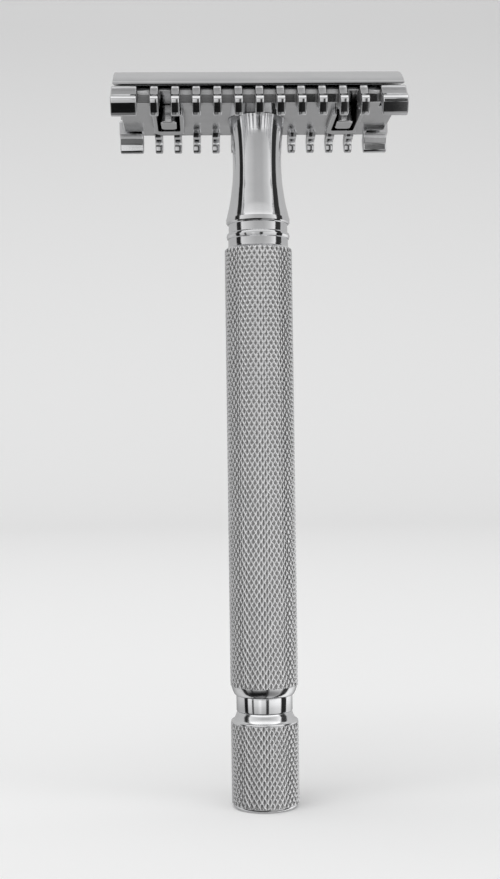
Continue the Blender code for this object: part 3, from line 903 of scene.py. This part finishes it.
def build_cap():
    half = CAP_HIGH.y
    crown = LIP_TOP_Z + CAP_TOP_BEND - math.sqrt(CAP_TOP_BEND**2 - half**2)
    under = arc_line(CAP_UNDER_Z, CAP_UNDER_BEND, 0.4 - half, half - 0.4, 32)
    over = arc_line(crown, CAP_TOP_BEND, half - 0.4, 0.4 - half, 80)
    lip = [(half, arc_z(CAP_UNDER_Z, CAP_UNDER_BEND, half), 0.12), (half, LIP_TOP_Z, 0.12)]
    corners = [(y, z, 0) for y, z in under] + lip + [(y, z, 0) for y, z in over]
    corners += [(-y, z, radius) for y, z, radius in reversed(lip)]
    arch = soft_prism(rounded(corners, 4), -CAP_HIGH.x, CAP_HIGH.x, 0.11, along_x, 3)
    cap = to_object("arched_top_cap", arch)
    lugs = []
    for end in (-1, 1):
        outline = box_outline(*LUG_HALF, 0.7, a=end * LUG_X)
        lugs.append(upright("lug", outline, CAP_LOW.z, LUG_TOP_Z, 0.25, 4))
    hole = circle(STUD_HOLE_R, 64)
    cutters = [upright("stud_hole", hole, STUD_HOLE_LOW_Z, STUD_HIGH.z + FIT_GAP)]
    combine(cap, lugs, cutters)
    crisp_shading(cap, 30)
    return finish_piece(cap, "cap", ["top_cap"], "cap")


build_knob()
build_washer()
build_rod()
build_clip()
build_socket()
build_barrel()
build_collar()
build_neck()
build_plate()
build_blade()
build_stud()
build_cap()


# ------------------------------------------------------------------ studio

# The light tent's brightness by bearing in degrees: 0 is towards the camera's side and 90 towards +X. It has
# two black gaps beside the razor, and two narrow ones in front below the horizon.
HIGH_WALLS = [
    (-180, 0.51), (-95, 0.53), (-93, 0.02), (-74, 0.02), (-70, 0.85), (-50, 0.7), (-12, 0.5),
    (20, 0.5), (45, 0.66), (68, 1.0), (71, 0.03), (97, 0.04), (99, 0.56), (180, 0.51),
]
LOW_WALLS = [
    (-180, 0.5), (-155, 0.55), (-120, 0.8), (-93, 0.8), (-91, 0.02), (-75, 0.02), (-72, 1.1),
    (-56, 1.1), (-54, 0.1), (-48, 0.1), (-46, 1.0), (-30, 1.05), (-20, 1.4), (-12, 1.05), (3, 0.95),
    (5, 0.08), (15, 0.08), (17, 1.15), (45, 1.35), (68, 1.4), (71, 0.03), (97, 0.04), (99, 1.3),
    (125, 1.2), (155, 0.55), (180, 0.5),
]
# The same from straight down (0) to straight up (1), and what is added or darkened over part of the front:
# a softbox overhead, and a dark table below the camera.
BY_HEIGHT = [
    (0.0, 0.85), (0.28, 0.75), (0.35, 0.62), (0.38, 0.62), (0.44, 0.82), (0.5, 0.92),
    (0.6, 1.0), (0.78, 1.05), (0.88, 1.15), (0.92, 1.05), (0.96, 0.85), (1.0, 0.7),
]
SOFTBOX_BEARINGS = [(-110, 0.0), (-70, 1.0), (80, 1.0), (120, 0.0)]
SOFTBOX_HEIGHTS = [(0.78, 0.0), (0.86, 0.6), (0.96, 0.5), (0.985, 0.3), (1.0, 0.05)]
TABLE_BEARINGS = [(-180, 0.0), (-100, 0.0), (-70, 1.0), (4, 1.0), (8, 0.8), (60, 0.75), (100, 0.0)]
TABLE_HEIGHTS = [(0.0, 0.85), (0.035, 0.8), (0.08, 1.0), (0.16, 1.0), (0.25, 0.6), (0.36, 0.0)]
TABLE_GREY = (0.008, 0.008, 0.008, 1.0)
BACKDROP_GREY = (0.78, 0.78, 0.78, 1.0)
FLOOR_GREY = (0.94, 0.94, 0.94, 1.0)

CAMERA_LENS = 54.9
CAMERA_AT = (-0.00878, -0.20452, 0.05254)
CAMERA_TURN_DEG = (90.871, 0.785, -1.982)


def by_bearing(stops):
    """Stops by bearing in degrees, as stops for a ramp from 0 to 1."""
    return [((bearing + 180) / 360, value) for bearing, value in stops]


def build_world():
    """The light tent. Behind the razor, the camera itself sees a plain pale wall."""
    world = bpy.data.worlds.new("light_tent")
    bpy.context.scene.world = world
    world.use_nodes = True
    tree = world.node_tree
    tree.nodes.clear()
    wiring = Wiring(tree)
    way = wiring.node("SeparateXYZ", {"Vector": wiring.node("TexCoord").outputs["Generated"]}).outputs
    towards = wiring.math("MULTIPLY", way["Y"], -1.0)
    bearing = wiring.math("ARCTAN2", way["X"], towards)
    share = wiring.spread(bearing, 0.0, 1.0, -math.pi, math.pi)
    height = wiring.spread(way["Z"], 0.0, 1.0, -1.0, 1.0)

    above = wiring.spread(way["Z"], 0.0, 1.0, -0.02, 0.03)
    around = wiring.node("Mix", {"Factor": above}, data_type="RGBA")
    tree.links.new(wiring.ramp(share, by_bearing(LOW_WALLS)), around.inputs["A"])
    tree.links.new(wiring.ramp(share, by_bearing(HIGH_WALLS)), around.inputs["B"])
    tent = wiring.node("Mix", {"Factor": 1.0}, data_type="RGBA", blend_type="MULTIPLY")
    tree.links.new(around.outputs["Result"], tent.inputs["A"])
    tree.links.new(wiring.ramp(height, BY_HEIGHT), tent.inputs["B"])

    over_front = wiring.ramp(share, by_bearing(SOFTBOX_BEARINGS))
    added = wiring.math("MULTIPLY", over_front, wiring.ramp(height, SOFTBOX_HEIGHTS))
    softbox = wiring.node("Mix", {"Factor": 1.0}, data_type="RGBA", blend_type="ADD")
    tree.links.new(tent.outputs["Result"], softbox.inputs["A"])
    tree.links.new(added, softbox.inputs["B"])

    before_front = wiring.ramp(share, by_bearing(TABLE_BEARINGS))
    table = wiring.math("MULTIPLY", before_front, wiring.ramp(height, TABLE_HEIGHTS))
    shaded = wiring.node("Mix", {"Factor": table}, data_type="RGBA")
    tree.links.new(softbox.outputs["Result"], shaded.inputs["A"])
    shaded.inputs["B"].default_value = TABLE_GREY

    tent_light = wiring.node("Background", {"Color": shaded.outputs["Result"], "Strength": 1.0})
    wall = wiring.node("Background", {"Color": BACKDROP_GREY, "Strength": 1.0})
    seen = wiring.node("LightPath").outputs["Is Camera Ray"]
    both = wiring.node("MixShader", {0: seen, 1: tent_light.outputs[0], 2: wall.outputs[0]})
    out = wiring.node("OutputWorld")
    tree.links.new(both.outputs[0], out.inputs["Surface"])


def build_floor():
    """A flat floor that sweeps up into a wall all round, without a line between them."""
    flat, bend, tall = 0.9, 0.6, 1.6
    drop = 0.00005          # keeps the floor clear of the knob's end
    profile = [(0.02, -drop), (0.3, -drop), (flat, -drop)]
    for step in range(1, 25):
        turn = math.pi / 2 * step / 24
        profile.append((flat + bend * math.sin(turn), bend * (1 - math.cos(turn)) - drop))
    profile.append((flat + bend, bend + tall))
    shape = bmesh.new()
    rings = [turned_ring(shape, radius, height, 96) for radius, height in profile]
    add_rings(shape, rings)
    shape.faces.new(reversed(rings[0]))
    mesh = bpy.data.meshes.new("studio_sweep")
    shape.to_mesh(mesh)
    shape.free()
    mesh.shade_smooth()
    sweep = bpy.data.objects.new("studio_sweep", mesh)
    bpy.context.scene.collection.objects.link(sweep)
    look = bpy.data.materials.new("pale_floor")
    look.use_nodes = True
    shader = look.node_tree.nodes["Principled BSDF"]
    shader.inputs["Base Color"].default_value = FLOOR_GREY
    shader.inputs["Roughness"].default_value = 0.9
    shader.inputs["Specular IOR Level"].default_value = 0.1
    mesh.materials.append(look)
    sweep.visible_glossy = False
    sweep.visible_diffuse = False
    sweep.visible_shadow = False


def build_key_light():
    data = bpy.data.lights.new("overhead_softbox", "AREA")
    data.shape = "DISK"
    data.size = 1.2
    data.energy = 6.0
    key = bpy.data.objects.new("overhead_softbox", data)
    bpy.context.scene.collection.objects.link(key)
    key.location = (-0.3, -0.2, 1.3)
    key.rotation_euler = (Vector((0, 0, 0.06)) - key.location).to_track_quat("-Z", "Y").to_euler()
    key.visible_glossy = False


def build_camera():
    data = bpy.data.cameras.new("camera")
    data.lens = CAMERA_LENS
    data.sensor_width = 36.0
    data.clip_start = 0.01
    data.clip_end = 20.0
    camera = bpy.data.objects.new("camera", data)
    bpy.context.scene.collection.objects.link(camera)
    camera.location = CAMERA_AT
    camera.rotation_euler = [math.radians(turn) for turn in CAMERA_TURN_DEG]
    bpy.context.scene.camera = camera


build_world()
build_floor()
build_key_light()
build_camera()
bpy.context.scene.view_settings.view_transform = "Standard"
